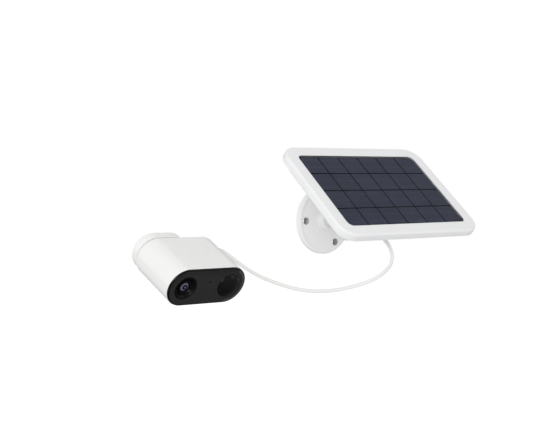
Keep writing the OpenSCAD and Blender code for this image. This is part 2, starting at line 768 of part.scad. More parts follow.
module reset_button() color("lightgray") in_camera() translate([button_x, button_y, -end_r]) {
    translate([0, 0, -button_proud]) cylinder(r = button_r, h = button_proud + shell_wall + eps);
    translate([0, 0, shell_wall]) cylinder(r = button_r + 1, h = button_flange);
    translate([0, 0, shell_wall + button_flange - eps])
        cylinder(r = button_stem_r, h = switch_z + end_r - shell_wall - button_flange - button_travel - 0.1);
}

module button_spring() color("silver") in_camera()
    translate([button_x, button_y, -end_r + shell_wall + button_flange]) difference() {
        cylinder(r = spring_r, h = switch_z + end_r - shell_wall - button_flange);
        translate([0, 0, -1]) cylinder(r = spring_r - spring_wire, h = 10);
    }

module button_switch() color("darkslategray") in_camera()
    translate([button_x - switch[0] / 2, button_y - switch[1] / 2, switch_z]) cube(switch);

bracket_base();
arm_post();
post_retainer();
retainer_screw();
pivot_pin();
pivot_knob();
panel_knuckle();
lock_nut();
stud_insert();
panel_frame();
panel_glass();
solar_cells();
cell_backing();
glass_gasket();
panel_back();
back_screws();
junction_cover();
junction_board();
cable_gland();
cable();
plug_boot();
plug_shell();
camera_base();
ball_arm();
ball_liner();
ball_socket();
socket_ring();
socket_insert();
camera_shell();
battery_pack();
pack_seal();
front_fascia();
fascia_seal();
lens_ring();
lens_barrel();
lens_glass();
image_sensor();
sensor_board();
pir_dome();
pir_sensor();
pir_board();
microphone();
infrared_leds();
main_board();
battery_cells();
battery_tray();
speaker();
antenna();
usb_port();
port_flap();
flap_pin();
reset_button();
button_spring();
button_switch();
shell_screws_set();
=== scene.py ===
import math
import random
import bpy
import bmesh
from mathutils import Matrix, Vector


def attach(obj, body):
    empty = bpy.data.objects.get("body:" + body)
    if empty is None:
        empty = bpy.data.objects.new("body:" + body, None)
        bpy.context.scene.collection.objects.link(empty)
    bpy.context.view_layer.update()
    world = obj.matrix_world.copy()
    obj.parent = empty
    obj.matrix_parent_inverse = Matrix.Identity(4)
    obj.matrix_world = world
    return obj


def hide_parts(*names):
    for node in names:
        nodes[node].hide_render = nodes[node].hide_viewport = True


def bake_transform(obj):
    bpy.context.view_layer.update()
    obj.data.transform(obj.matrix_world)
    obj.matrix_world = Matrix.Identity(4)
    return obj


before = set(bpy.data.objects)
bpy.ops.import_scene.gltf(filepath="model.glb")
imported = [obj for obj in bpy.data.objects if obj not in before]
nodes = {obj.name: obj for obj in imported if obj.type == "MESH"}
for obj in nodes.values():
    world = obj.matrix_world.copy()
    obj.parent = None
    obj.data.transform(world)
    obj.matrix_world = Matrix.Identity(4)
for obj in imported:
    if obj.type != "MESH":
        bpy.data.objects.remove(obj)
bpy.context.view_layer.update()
print("frame loaded with", len(nodes), "nodes")

mm = 0.001
scene = bpy.context.scene

# ---- camera and lights ----
shot = {
    "place": (-0.7542, -0.8682, 0.0492),
    "azimuth": -38.1,   # degrees, round from the front
    "down": 2.6,
    "lens": 74.3,
    "sensor": 36.0,
}


def makeCamera():
    turn, down = math.radians(shot["azimuth"]), math.radians(shot["down"])
    ahead = Vector((-math.sin(turn) * math.cos(down), math.cos(turn) * math.cos(down), -math.sin(down)))
    data = bpy.data.cameras.new("shotCamera")
    data.lens, data.sensor_width = shot["lens"], shot["sensor"]
    data.clip_start, data.clip_end = 0.05, 20
    camera = bpy.data.objects.new("shotCamera", data)
    camera.location = shot["place"]
    camera.rotation_euler = ahead.to_track_quat("-Z", "Y").to_euler()
    scene.collection.objects.link(camera)
    scene.camera = camera


makeCamera()
print("camera made")

# ---- the cable ----
cable = {
    "diameter": 3.8,
    "sides": 20,
    "step": 1.2,         # spacing of the rings
    "route": [
        (-19, -108, -10.1), (-18.3, -111.7, -13.8), (-17, -115.8, -18.5), (-15, -119, -26),
        (-13, -117.5, -35), (-13.2, -111.5, -43), (-15.2, -103, -50), (-20, -95, -55),
        (-27.5, -88, -58.8), (-36, -82, -61.6), (-45.5, -77.5, -63.4), (-55.5, -73.5, -64.3),
        (-65.5, -70.5, -64.3), (-75.5, -67, -63.4), (-85.5, -63.5, -61.6), (-95, -60, -58.8),
        (-105, -57, -55.4), (-114.5, -54, -51.5), (-123.5, -50.5, -47), (-131.5, -46, -41.5),
        (-138, -40, -35.5), (-143, -34, -29.5), (-147.5, -29.5, -25), (-152.5, -27.5, -22.8),
        (-158.9, -27.4, -22.1),
    ],
}


def smoothLine(points, step, easing=6):
    # a rounded line through the points, evened out and cut into equal steps
    dense = []
    for i in range(len(points) - 1):
        p0 = points[max(i - 1, 0)]
        p1, p2 = points[i], points[i + 1]
        p3 = points[min(i + 2, len(points) - 1)]
        for k in range(12):
            t = k / 12
            a, b = 2 * p1, p2 - p0
            c = 2 * p0 - 5 * p1 + 4 * p2 - p3
            d = 3 * p1 - p0 - 3 * p2 + p3
            dense.append(0.5 * (a + b * t + c * t * t + d * t ** 3))
    dense.append(points[-1])
    for _ in range(easing * 8):
        inner = [(dense[i - 1] + 2 * dense[i] + dense[i + 1]) / 4 for i in range(2, len(dense) - 2)]
        dense[2:-2] = inner
    far = [0.0]
    for a, b in zip(dense, dense[1:]):
        far.append(far[-1] + (b - a).length)
    count = max(2, round(far[-1] / step))
    line, at = [], 0
    for i in range(count + 1):
        want = far[-1] * i / count
        while at < len(far) - 2 and far[at + 1] < want:
            at += 1
        share = (want - far[at]) / max(far[at + 1] - far[at], 1e-9)
        line.append(dense[at].lerp(dense[at + 1], min(max(share, 0), 1)))
    return line


def lineLength(line):
    return sum((b - a).length for a, b in zip(line, line[1:]))


cableLine = smoothLine([Vector(p) * mm for p in cable["route"]], cable["step"] * mm)
print("cable line is", round(lineLength(cableLine), 4), "m long")

# ---- shader groups ----
def newGroup(name, inputs, outputs):
    group = bpy.data.node_groups.new(name, "ShaderNodeTree")
    for label, kind, value in inputs:
        socket = group.interface.new_socket(name=label, in_out="INPUT", socket_type=kind)
        socket.default_value = value
    for label, kind in outputs:
        group.interface.new_socket(name=label, in_out="OUTPUT", socket_type=kind)
    return group, group.nodes.new("NodeGroupInput"), group.nodes.new("NodeGroupOutput")


def addNode(tree, kind, values=None, **settings):
    node = tree.nodes.new(kind)
    for key, value in settings.items():
        setattr(node, key, value)
    for key, value in (values or {}).items():
        node.inputs[key].default_value = value
    return node


def addTexture(tree, kind, values=None, **settings):
    # a texture laid out in the piece's own space
    texture = addNode(tree, kind, values, **settings)
    place = addNode(tree, "ShaderNodeTexCoord")
    tree.links.new(place.outputs["Object"], texture.inputs["Vector"])
    return texture


def maskOut(group, inside, out, source, noise):
    # source x noise x Amount, kept within 0 and 1
    both = addNode(group, "ShaderNodeMath", operation="MULTIPLY")
    share = addNode(group, "ShaderNodeMath", operation="MULTIPLY", use_clamp=True)
    group.links.new(source, both.inputs[0])
    group.links.new(noise.outputs["Fac"], both.inputs[1])
    group.links.new(both.outputs[0], share.inputs[0])
    group.links.new(inside.outputs["Amount"], share.inputs[1])
    group.links.new(share.outputs[0], out.inputs["Mask"])


def fineGrainGroup():
    # moulded surface: tiny pits over soft waviness, as a height from 0 to 1
    group, inside, out = newGroup("fineGrain",
                                  [("Size", "NodeSocketFloat", 0.4), ("Waviness", "NodeSocketFloat", 0.3)],
                                  [("Height", "NodeSocketFloat"), ("Tone", "NodeSocketFloat")])
    link = group.links.new
    scale = addNode(group, "ShaderNodeMath", {0: 1000.0}, operation="DIVIDE")
    link(inside.outputs["Size"], scale.inputs[1])
    pits = addTexture(group, "ShaderNodeTexNoise", {"Detail": 2.0, "Roughness": 0.55})
    waves = addTexture(group, "ShaderNodeTexNoise", {"Scale": 38.0, "Detail": 2.0})
    patches = addTexture(group, "ShaderNodeTexNoise", {"Scale": 24.0, "Detail": 4.0, "Roughness": 0.6})
    link(scale.outputs[0], pits.inputs["Scale"])
    mix = addNode(group, "ShaderNodeMix", data_type="FLOAT")
    link(inside.outputs["Waviness"], mix.inputs[0])
    link(pits.outputs["Fac"], mix.inputs[2])
    link(waves.outputs["Fac"], mix.inputs[3])
    link(mix.outputs[0], out.inputs["Height"])
    link(patches.outputs["Fac"], out.inputs["Tone"])
    return group


def edgeWearGroup():
    # sharp convex edges, broken up by noise
    group, inside, out = newGroup("edgeWear", [("Amount", "NodeSocketFloat", 0.3)], [("Mask", "NodeSocketFloat")])
    shape = addNode(group, "ShaderNodeNewGeometry")
    edge = addNode(group, "ShaderNodeMapRange", {"From Min": 0.53, "From Max": 0.62})
    noise = addTexture(group, "ShaderNodeTexNoise", {"Scale": 260.0, "Detail": 5.0})
    group.links.new(shape.outputs["Pointiness"], edge.inputs["Value"])
    maskOut(group, inside, out, edge.outputs[0], noise)
    return group


def thinDustGroup():
    # light dust on what faces up
    group, inside, out = newGroup("thinDust", [("Amount", "NodeSocketFloat", 0.2)], [("Mask", "NodeSocketFloat")])
    shape = addNode(group, "ShaderNodeNewGeometry")
    split = addNode(group, "ShaderNodeSeparateXYZ")
    up = addNode(group, "ShaderNodeMapRange", {"From Min": 0.2, "From Max": 1.0})
    noise = addTexture(group, "ShaderNodeTexNoise", {"Scale": 90.0, "Detail": 6.0, "Roughness": 0.65})
    group.links.new(shape.outputs["Normal"], split.inputs[0])
    group.links.new(split.outputs["Z"], up.inputs["Value"])
    maskOut(group, inside, out, up.outputs[0], noise)
    return group


fineGrain, edgeWear, thinDust = fineGrainGroup(), edgeWearGroup(), thinDustGroup()


def useGroup(tree, group, **values):
    node = tree.nodes.new("ShaderNodeGroup")
    node.node_tree = group
    for key, value in values.items():
        node.inputs[key].default_value = value
    return node


def rgb(red, green, blue):
    # screen colour 0..255 to linear
    def linear(c):
        c /= 255
        return c / 12.92 if c <= 0.04045 else ((c + 0.055) / 1.055) ** 2.4
    return (linear(red), linear(green), linear(blue), 1)


def mixColour(tree, factor, first, second):
    mix = addNode(tree, "ShaderNodeMix", data_type="RGBA")
    for value, socket in ((factor, mix.inputs[0]), (first, mix.inputs[6]), (second, mix.inputs[7])):
        if isinstance(value, bpy.types.NodeSocket):
            tree.links.new(value, socket)
        else:
            socket.default_value = value
    return mix.outputs[2]


def ramp(tree, source, low, high, fromLow=0.3, fromHigh=0.7):
    spread = addNode(tree, "ShaderNodeMapRange",
                     {"From Min": fromLow, "From Max": fromHigh, "To Min": low, "To Max": high})
    tree.links.new(source, spread.inputs["Value"])
    return spread.outputs[0]


def newMaterial(name):
    material = bpy.data.materials.new(name)
    material.use_nodes = True
    return material, material.node_tree, material.node_tree.nodes["Principled BSDF"]


def addBump(tree, shader, height, strength, distance):
    bump = addNode(tree, "ShaderNodeBump", {"Strength": strength, "Distance": distance * mm})
    tree.links.new(height, bump.inputs["Height"])
    tree.links.new(bump.outputs["Normal"], shader.inputs["Normal"])


grainDepth = 0.06


def surface(name, look):
    # one moulded, machined or printed finish: base colours, gloss, grain, worn edges and dust
    material, tree, shader = newMaterial(name)
    grain = useGroup(tree, fineGrain, Size=look["grain"], Waviness=look.get("waviness", 0.3))
    worn = useGroup(tree, edgeWear, Amount=look.get("wear", 0.3))
    dust = useGroup(tree, thinDust, Amount=look.get("dust", 0.15))
    tone = ramp(tree, grain.outputs["Tone"], 0, 1)
    colour = mixColour(tree, tone, look["colour"], look["second"])
    colour = mixColour(tree, worn.outputs["Mask"], colour, look.get("wornColour", look["second"]))
    colour = mixColour(tree, dust.outputs["Mask"], colour, look.get("dustColour", rgb(196, 190, 180)))
    tree.links.new(colour, shader.inputs["Base Color"])
    gloss = ramp(tree, grain.outputs["Tone"], look["rough"][0], look["rough"][1])
    rougher = addNode(tree, "ShaderNodeMath", operation="ADD", use_clamp=True)
    tree.links.new(gloss, rougher.inputs[0])
    tree.links.new(dust.outputs["Mask"], rougher.inputs[1])
    tree.links.new(rougher.outputs[0], shader.inputs["Roughness"])
    addBump(tree, shader, grain.outputs["Height"], look["bump"], grainDepth)
    shader.inputs["Metallic"].default_value = look.get("metal", 0)
    shader.inputs["Specular IOR Level"].default_value = look.get("specular", 0.5)
    shader.inputs["Coat Weight"].default_value = look.get("coat", 0)
    shader.inputs["Coat Roughness"].default_value = look.get("coatRough", 0.1)
    return material


finishes = {
    "whitePlastic": {"colour": rgb(240, 240, 239), "second": rgb(236, 236, 235), "rough": (0.36, 0.46), "grain": 0.45,
                     "bump": 0.16, "wear": 0.25, "wornColour": rgb(206, 205, 202), "dust": 0.10},
    "framePlastic": {"colour": rgb(240, 240, 241), "second": rgb(235, 236, 237), "rough": (0.40, 0.50), "grain": 0.5,
                     "bump": 0.2, "wornColour": rgb(204, 203, 200), "dust": 0.12},
    "bracketPlastic": {"colour": rgb(240, 240, 240), "second": rgb(236, 236, 236), "rough": (0.42, 0.52), "grain": 0.5,
                       "bump": 0.22, "wornColour": rgb(200, 199, 196), "dust": 0.14},
    # the arm's white plastic, darker than the other whites: painted shade for the arm's place under the panel
    "armPlasticShaded": {"colour": rgb(226, 227, 228), "second": rgb(219, 220, 222), "rough": (0.42, 0.55), "grain": 0.5,
                   "bump": 0.24, "wear": 0.35, "wornColour": rgb(190, 189, 187), "dust": 0.14},
    "cablePlastic": {"colour": rgb(242, 242, 240), "second": rgb(237, 237, 235), "rough": (0.42, 0.55), "grain": 0.3,
                     "bump": 0.2, "waviness": 0.5, "wear": 0.1, "dust": 0.1},
    # painted shade: a darker grey for the insides of the wall disc's screw holes
    "paintedBoreShade": {"colour": rgb(168, 169, 171), "second": rgb(150, 151, 153), "rough": (0.5, 0.6), "grain": 0.4,
                 "bump": 0.2, "wear": 0.1, "dust": 0.05},
    # paler grey for the lower-right part of the fascia bevel: painted reflection
    "paintedBevelSheen": {"colour": rgb(74, 74, 75), "second": rgb(66, 66, 67), "rough": (0.3, 0.4), "grain": 0.3,
                     "bump": 0.12, "wear": 0.2, "wornColour": rgb(92, 92, 92), "dust": 0.03},
    "softWhite": {"colour": rgb(222, 222, 220), "second": rgb(213, 213, 210), "rough": (0.55, 0.68), "grain": 0.35,
                  "bump": 0.25, "wear": 0.2, "dust": 0.15},
    "fasciaPlastic": {"colour": rgb(46, 46, 47), "second": rgb(41, 41, 42), "rough": (0.34, 0.44), "grain": 0.3,
                      "bump": 0.14, "wear": 0.25, "wornColour": rgb(62, 62, 62), "dust": 0.04, "specular": 0.45},
    "rimPlastic": {"colour": rgb(14, 14, 15), "second": rgb(10, 10, 11), "rough": (0.22, 0.32), "grain": 0.3,
                   "bump": 0.1, "wear": 0.2, "wornColour": rgb(48, 48, 48), "dust": 0.03},
    "lensPlastic": {"colour": rgb(16, 16, 17), "second": rgb(11, 11, 12), "rough": (0.26, 0.38), "grain": 0.25,
                    "bump": 0.12, "wear": 0.2, "wornColour": rgb(50, 50, 52), "dust": 0.02},
    "domePlastic": {"colour": rgb(22, 22, 24), "second": rgb(17, 17, 19), "rough": (0.2, 0.28), "grain": 0.6,
                    "bump": 0.06, "wear": 0.1, "wornColour": rgb(40, 40, 42), "dust": 0.03, "coat": 0.4},
    "darkPlastic": {"colour": rgb(52, 53, 55), "second": rgb(42, 43, 45), "rough": (0.45, 0.58), "grain": 0.45,
                    "bump": 0.25, "wear": 0.4, "wornColour": rgb(96, 96, 96), "dust": 0.08},
    "sealRubber": {"colour": rgb(46, 46, 47), "second": rgb(36, 36, 37), "rough": (0.66, 0.82), "grain": 0.3,
                   "bump": 0.35, "wornColour": rgb(84, 84, 84), "dust": 0.12, "specular": 0.3},
    "steel": {"colour": rgb(196, 197, 200), "second": rgb(172, 173, 178), "rough": (0.22, 0.36), "grain": 0.2,
              "bump": 0.16, "wear": 0.5, "wornColour": rgb(226, 226, 228), "dust": 0.06, "metal": 1},
    "brass": {"colour": rgb(214, 176, 98), "second": rgb(188, 148, 76), "rough": (0.24, 0.38), "grain": 0.2,
              "bump": 0.16, "wear": 0.5, "wornColour": rgb(238, 208, 140), "dust": 0.05, "metal": 1},
    "chipPlastic": {"colour": rgb(30, 31, 34), "second": rgb(40, 41, 44), "rough": (0.42, 0.56), "grain": 0.2,
                    "bump": 0.3, "wornColour": rgb(80, 80, 82), "dust": 0.05},
    "trayPlastic": {"colour": rgb(120, 122, 124), "second": rgb(106, 108, 110), "rough": (0.48, 0.6), "grain": 0.5,
                    "bump": 0.3, "wornColour": rgb(150, 150, 150), "dust": 0.08},
    "nylon": {"colour": rgb(66, 67, 69), "second": rgb(54, 55, 57), "rough": (0.4, 0.55), "grain": 0.4,
              "bump": 0.22, "wornColour": rgb(104, 104, 105), "dust": 0.06},
}
made = {name: surface(name, look) for name, look in finishes.items()}
print("finishes made:", len(made))


# ---- finishes of their own ----
def boardFinish():
    # green board: solder mask with tracks and small gold pads
    material, tree, shader = newMaterial("circuitBoard")
    tracks = addTexture(tree, "ShaderNodeTexBrick", {"Scale": 420.0, "Mortar Size": 0.03, "Color1": rgb(22, 92, 58),
                                                     "Color2": rgb(18, 80, 50), "Mortar": rgb(52, 132, 84)})
    pads = addTexture(tree, "ShaderNodeTexVoronoi", {"Scale": 480.0, "Randomness": 0.35})
    dot = ramp(tree, pads.outputs["Distance"], 1, 0, 0.10, 0.16)
    colour = mixColour(tree, dot, tracks.outputs["Color"], rgb(206, 172, 96))
    tree.links.new(colour, shader.inputs["Base Color"])
    tree.links.new(ramp(tree, pads.outputs["Distance"], 0.28, 0.42), shader.inputs["Roughness"])
    addBump(tree, shader, tracks.outputs["Fac"], 0.3, 0.05)
    return material


def wrapFinish():
    # shrink wrap of the battery cells, with a pale band
    material, tree, shader = newMaterial("cellWrap")
    grain = useGroup(tree, fineGrain, Size=0.8, Waviness=0.7)
    bands = addTexture(tree, "ShaderNodeTexWave", {"Scale": 14.0, "Distortion": 0.2}, bands_direction="X")
    band = ramp(tree, bands.outputs["Fac"], 0, 1, 0.93, 0.95)
    colour = mixColour(tree, band, rgb(38, 74, 126), rgb(198, 202, 206))
    tree.links.new(colour, shader.inputs["Base Color"])
    tree.links.new(ramp(tree, grain.outputs["Tone"], 0.26, 0.4), shader.inputs["Roughness"])
    addBump(tree, shader, grain.outputs["Height"], 0.3, 0.1)
    return material


cellLook = {
    "colour": rgb(102, 107, 133), "second": rgb(92, 97, 121), "finger": rgb(116, 121, 144),
    "fingerStep": 1.55,  # mm between the fine silver fingers
    "rough": (0.3, 0.42),
}


def cellFinish():
    # dark blue silicon with fine fingers across it and a slow drift of tone from cell to cell
    material, tree, shader = newMaterial("siliconCell")
    tone = addNode(tree, "ShaderNodeAttribute", attribute_name="cellTone")
    mottle = addTexture(tree, "ShaderNodeTexNoise", {"Scale": 130.0, "Detail": 4.0})
    fingers = addTexture(tree, "ShaderNodeTexWave", {"Scale": 1000 / cellLook["fingerStep"] / 20, "Distortion": 0.0},
                         bands_direction="Y")
    both = addNode(tree, "ShaderNodeMath", {1: 0.35}, operation="MULTIPLY_ADD")
    tree.links.new(mottle.outputs["Fac"], both.inputs[0])
    tree.links.new(tone.outputs["Fac"], both.inputs[2])
    colour = mixColour(tree, both.outputs[0], cellLook["second"], cellLook["colour"])
    line = ramp(tree, fingers.outputs["Fac"], 0, 0.55, 0.9, 1.0)
    colour = mixColour(tree, line, colour, cellLook["finger"])
    tree.links.new(colour, shader.inputs["Base Color"])
    tree.links.new(ramp(tree, mottle.outputs["Fac"], *cellLook["rough"]), shader.inputs["Roughness"])
    addBump(tree, shader, fingers.outputs["Fac"], 0.15, 0.03)
    return material


def glassFinish(name, tint, roughness, waves):
    material, tree, shader = newMaterial(name)
    grain = useGroup(tree, fineGrain, Size=waves, Waviness=0.8)
    smear = ramp(tree, grain.outputs["Tone"], roughness[0], roughness[1])
    tree.links.new(mixColour(tree, grain.outputs["Tone"], tint, tuple(0.97 * c for c in tint[:3]) + (1,)),
                   shader.inputs["Base Color"])
    tree.links.new(smear, shader.inputs["Roughness"])
    addBump(tree, shader, grain.outputs["Height"], 0.03, 0.05)
    shader.inputs["Transmission Weight"].default_value = 1
    shader.inputs["IOR"].default_value = 1.2
    return material


# the coating's dark blue is its own colour; the bright ring and the pale middle are painted reflections
coatingLook = {"rimReflection": rgb(158, 154, 176), "middle": rgb(26, 26, 48), "deep": rgb(7, 7, 12), "radius": 4.6}


def coatingFinish():
    # coated front lens: dark violet-blue coating colour, with painted reflections on it: a pale spot in the middle and
    # a bright violet ring near the rim
    material, tree, shader = newMaterial("coatedLensPaintedReflections")
    place = addNode(tree, "ShaderNodeTexCoord")
    split = addNode(tree, "ShaderNodeSeparateXYZ")
    flat = addNode(tree, "ShaderNodeCombineXYZ")
    length = addNode(tree, "ShaderNodeVectorMath", operation="LENGTH")
    tree.links.new(place.outputs["Object"], split.inputs[0])
    tree.links.new(split.outputs["X"], flat.inputs["X"])
    tree.links.new(split.outputs["Y"], flat.inputs["Y"])
    tree.links.new(flat.outputs[0], length.inputs[0])
    far = ramp(tree, length.outputs["Value"], 0, 1, 0, coatingLook["radius"] * mm)
    bands = addNode(tree, "ShaderNodeValToRGB")
    stops = bands.color_ramp.elements
    # pale middle and bright ring near the rim: painted reflections; black and dark blue between: the coating
    stops[0].position, stops[0].color = 0.0, rgb(150, 140, 160)
    stops[1].position, stops[1].color = 1.0, rgb(24, 22, 30)
    for at, colour in ((0.12, rgb(110, 112, 140)), (0.2, coatingLook["deep"]), (0.46, coatingLook["middle"]),
                       (0.6, rgb(66, 64, 98)), (0.72, coatingLook["rimReflection"]), (0.86, rgb(92, 88, 112))):
        stop = stops.new(at)
        stop.color = colour
    tree.links.new(far, bands.inputs["Fac"])
    tree.links.new(bands.outputs["Color"], shader.inputs["Base Color"])
    grain = useGroup(tree, fineGrain, Size=0.5, Waviness=0.6)
    tree.links.new(ramp(tree, grain.outputs["Tone"], 0.04, 0.08), shader.inputs["Roughness"])
    addBump(tree, shader, grain.outputs["Height"], 0.02, 0.03)
    shader.inputs["Coat Weight"].default_value = 1
    shader.inputs["Coat Roughness"].default_value = 0.03
    return material


made["circuitBoard"], made["cellWrap"] = boardFinish(), wrapFinish()
made["siliconCell"], made["coatedLensPaintedReflections"] = cellFinish(), coatingFinish()
made["panelGlass"] = glassFinish("panelGlass", (0.97, 0.98, 1.0, 1), (0.02, 0.07), 6.0)
made["backsheet"] = surface("backsheet", {
    "colour": rgb(13, 14, 18), "second": rgb(9, 10, 13), "rough": (0.4, 0.5), "grain": 0.3, "bump": 0.15,
    "wear": 0.1, "dust": 0.0, "specular": 0.2})
print("finishes of their own made")


# ---- shapes ----
def softLoop(width, height, radius, steps=12):
    # corner points of a rounded rectangle, counterclockwise
    radius = max(min(radius, width / 2 - 1e-4, height / 2 - 1e-4), 0.05)
    points = []
    for cx, cy, start in ((1, 1, 0), (-1, 1, 90), (-1, -1, 180), (1, -1, 270)):
        for k in range(steps + 1):
            angle = math.radians(start + 90 * k / steps)
            points.append((cx * (width / 2 - radius) + radius * math.cos(angle),
                           cy * (height / 2 - radius) + radius * math.sin(angle)))
    return points


def loftMesh(loops, ring=False, capFirst=False, capLast=False):
    # skin through loops of the same number of points
    mesh = bmesh.new()
    rows = [[mesh.verts.new(Vector(p) * mm) for p in loop] for loop in loops]
    pairs = list(zip(rows, rows[1:])) + ([(rows[-1], rows[0])] if ring else [])
    for a, b in pairs:
        for k in range(len(a)):
            n = (k + 1) % len(a)
            mesh.faces.new((a[k], a[n], b[n], b[k]))
    if capFirst:
        mesh.faces.new(list(reversed(rows[0])))
    if capLast:
        mesh.faces.new(rows[-1])
    bmesh.ops.remove_doubles(mesh, verts=mesh.verts, dist=1e-7)
    bmesh.ops.recalc_face_normals(mesh, faces=mesh.faces)
    return mesh


def insetLoops(width, height, radius, profile, steps=12):
    # profile: (inset from the outline, z)
    return [[(x, y, z) for x, y in softLoop(width - 2 * i, height - 2 * i, radius - i, steps)] for i, z in profile]


def roundCorner(centre, radius, start, end, steps=6):
    # arc in a profile, angles in degrees
    turns = [math.radians(start + (end - start) * k / steps) for k in range(steps + 1)]
    return [(centre[0] + radius * math.cos(turn), centre[1] + radius * math.sin(turn)) for turn in turns]


def latheMesh(profile, segments=72, closed=False):
    # turns (radius, z) about Z; points on the axis become one vertex
    mesh = bmesh.new()
    rows = []
    for radius, z in profile:
        if radius < 1e-6:
            rows.append([mesh.verts.new((0, 0, z * mm))])
        else:
            rows.append([mesh.verts.new((radius * mm * math.cos(2 * math.pi * k / segments),
                                         radius * mm * math.sin(2 * math.pi * k / segments), z * mm))
                         for k in range(segments)])
    pairs = list(zip(rows, rows[1:])) + ([(rows[-1], rows[0])] if closed else [])
    for a, b in pairs:
        for k in range(segments):
            n = (k + 1) % segments
            face = [a[0]] if len(a) == 1 else [a[k], a[n]]
            face += [b[0]] if len(b) == 1 else [b[n], b[k]]
            if len(face) > 2:
                mesh.faces.new(face)
    bmesh.ops.recalc_face_normals(mesh, faces=mesh.faces)
    return mesh


def tubeMesh(line, radius, sides, capped=True):
    mesh = bmesh.new()
    up = Vector((0, 0, 1))
    rows = []
    for i, point in enumerate(line):
        ahead = (line[min(i + 1, len(line) - 1)] - line[max(i - 1, 0)]).normalized()
        side = ahead.cross(up).normalized() if abs(ahead.dot(up)) < 0.999 else Vector((1, 0, 0))
        up = side.cross(ahead).normalized()
        rows.append([mesh.verts.new(point + radius * (math.cos(a) * side + math.sin(a) * up))
                     for a in (2 * math.pi * k / sides for k in range(sides))])
    for a, b in zip(rows, rows[1:]):
        for k in range(sides):
            n = (k + 1) % sides
            mesh.faces.new((a[k], a[n], b[n], b[k]))
    if capped:
        mesh.faces.new(list(reversed(rows[0])))
        mesh.faces.new(rows[-1])
    bmesh.ops.recalc_face_normals(mesh, faces=mesh.faces)
    return mesh


def boxMesh(low, high):
    mesh = bmesh.new()
    bmesh.ops.create_cube(mesh, size=1)
    size = [(b - a) * mm for a, b in zip(low, high)]
    middle = [(a + b) / 2 * mm for a, b in zip(low, high)]
    bmesh.ops.scale(mesh, vec=size, verts=mesh.verts)
    bmesh.ops.translate(mesh, vec=middle, verts=mesh.verts)
    return mesh


def makePiece(name, mesh, material, space=None, sharp=35, flat=True):
    # turns a bmesh into an object that sits in its own local space
    data = bpy.data.meshes.new(name)
    mesh.to_mesh(data)
    mesh.free()
    data.shade_smooth()
    data.set_sharp_from_angle(angle=math.radians(sharp))
    piece = bpy.data.objects.new(name, data)
    piece.matrix_world = space or Matrix()
    scene.collection.objects.link(piece)
    if material:
        data.materials.append(material)
    if flat:
        even = piece.modifiers.new("evenShade", "WEIGHTED_NORMAL")
        even.keep_sharp, even.weight = True, 80
    return piece


def joinMeshes(first, *others):
    # adds other bmeshes to the first as separate islands
    for other in others:
        data = bpy.data.meshes.new("join")
        other.to_mesh(data)
        other.free()
        first.from_mesh(data)
        bpy.data.meshes.remove(data)
    return first


def cutAway(piece, *cutters):
    # cuts closed meshes out of a piece and applies it
    tools = []
    for mesh in cutters:
        tool = makePiece("cutter", mesh, None, piece.matrix_world.copy(), flat=False)
        cut = piece.modifiers.new("cut", "BOOLEAN")
        cut.operation, cut.object, cut.solver = "DIFFERENCE", tool, "EXACT"
        tools.append(tool)
    applyAll(piece)
    for tool in tools:
        data = tool.data
        bpy.data.objects.remove(tool)
        bpy.data.meshes.remove(data)


def applyAll(piece):
    bpy.context.view_layer.update()
    solid = bpy.data.meshes.new_from_object(piece.evaluated_get(bpy.context.evaluated_depsgraph_get()))
    old = piece.data
    piece.modifiers.clear()
    piece.data = solid
    bpy.data.meshes.remove(old)


def roundEdges(piece, width, segments=3, angle=35):
    bevel = piece.modifiers.new("roundEdges", "BEVEL")
    bevel.width, bevel.segments, bevel.limit_method = width * mm, segments, "ANGLE"
    bevel.angle_limit = math.radians(angle)
    bevel.harden_normals = True
    return piece


def settle(piece, body, slotName, *nodeNames):
    # the piece moves with its body and stands for its nodes
    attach(piece, body)
    if nodeNames:
        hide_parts(*nodeNames)
    return piece


def turnedMesh(mesh, matrix):
    bmesh.ops.transform(mesh, matrix=matrix, verts=mesh.verts)
    return mesh


panelSpace = (Matrix.Translation((0, -62 * mm, 0)) @ Matrix.Rotation(math.radians(40.6), 4, "X")
              @ Matrix.Translation((0, 0, 44.7 * mm)))
cameraSpace = (Matrix.Translation(Vector((-204.5, -84, -50.2)) * mm) @ Matrix.Rotation(math.radians(2), 4, "Z")
               @ Matrix.Rotation(math.radians(27.7), 4, "X") @ Matrix.Rotation(math.radians(0.8), 4, "Y"))
faceOut = Matrix.Rotation(math.radians(90), 4, "X")   # a piece turned about Z then faces -Y
print("shape helpers ready")

# ---- solar panel ----
panel = {
    "size": (183, 126), "corner": 18, "edge": 8, "frontRound": 2.4,
    "glass": (156.2, 100), "glassCorner": 6, "glassTop": -0.4, "glassThick": 2,
    "ledge": 4, "ledgeTop": -4.4, "groove": (-5.1, 0.25, 0.3),  # parting line: middle, depth, half height
    "cells": (6, 4), "cellGap": 1.8, "cellBorder": 1.4, "cellTop": -2.4, "cellThick": 0.35,
}


def makePanelFrame():
    width, height = panel["size"]
    r = panel["frontRound"]
    middle, deep, half = panel["groove"]
    back = -panel["edge"]
    outer = [(panel["ledge"], back), (0.6, back), (0.18, back + 0.18), (0, back + 0.6), (0, middle - half),
             (deep, middle - half * 0.5), (deep, middle + half * 0.5), (0, middle + half), (0, -r)]
    outer += roundCorner((r, -r), r, 180, 90, 8)[1:]
    loops = insetLoops(width, height, panel["corner"], outer, 14)
    glassWidth, glassHeight = panel["glass"]
    inner = [(-0.5, 0), (-0.2, -0.08), (0, -0.3), (0, panel["ledgeTop"]), (panel["ledge"], panel["ledgeTop"]),
             (panel["ledge"], back)]
    loops += insetLoops(glassWidth, glassHeight, panel["glassCorner"], inner, 14)
    piece = makePiece("panelFrame", loftMesh(loops, ring=True), made["framePlastic"], panelSpace, 28)
    return settle(piece, "panel_head", "frame_plastic", "panel_frame")


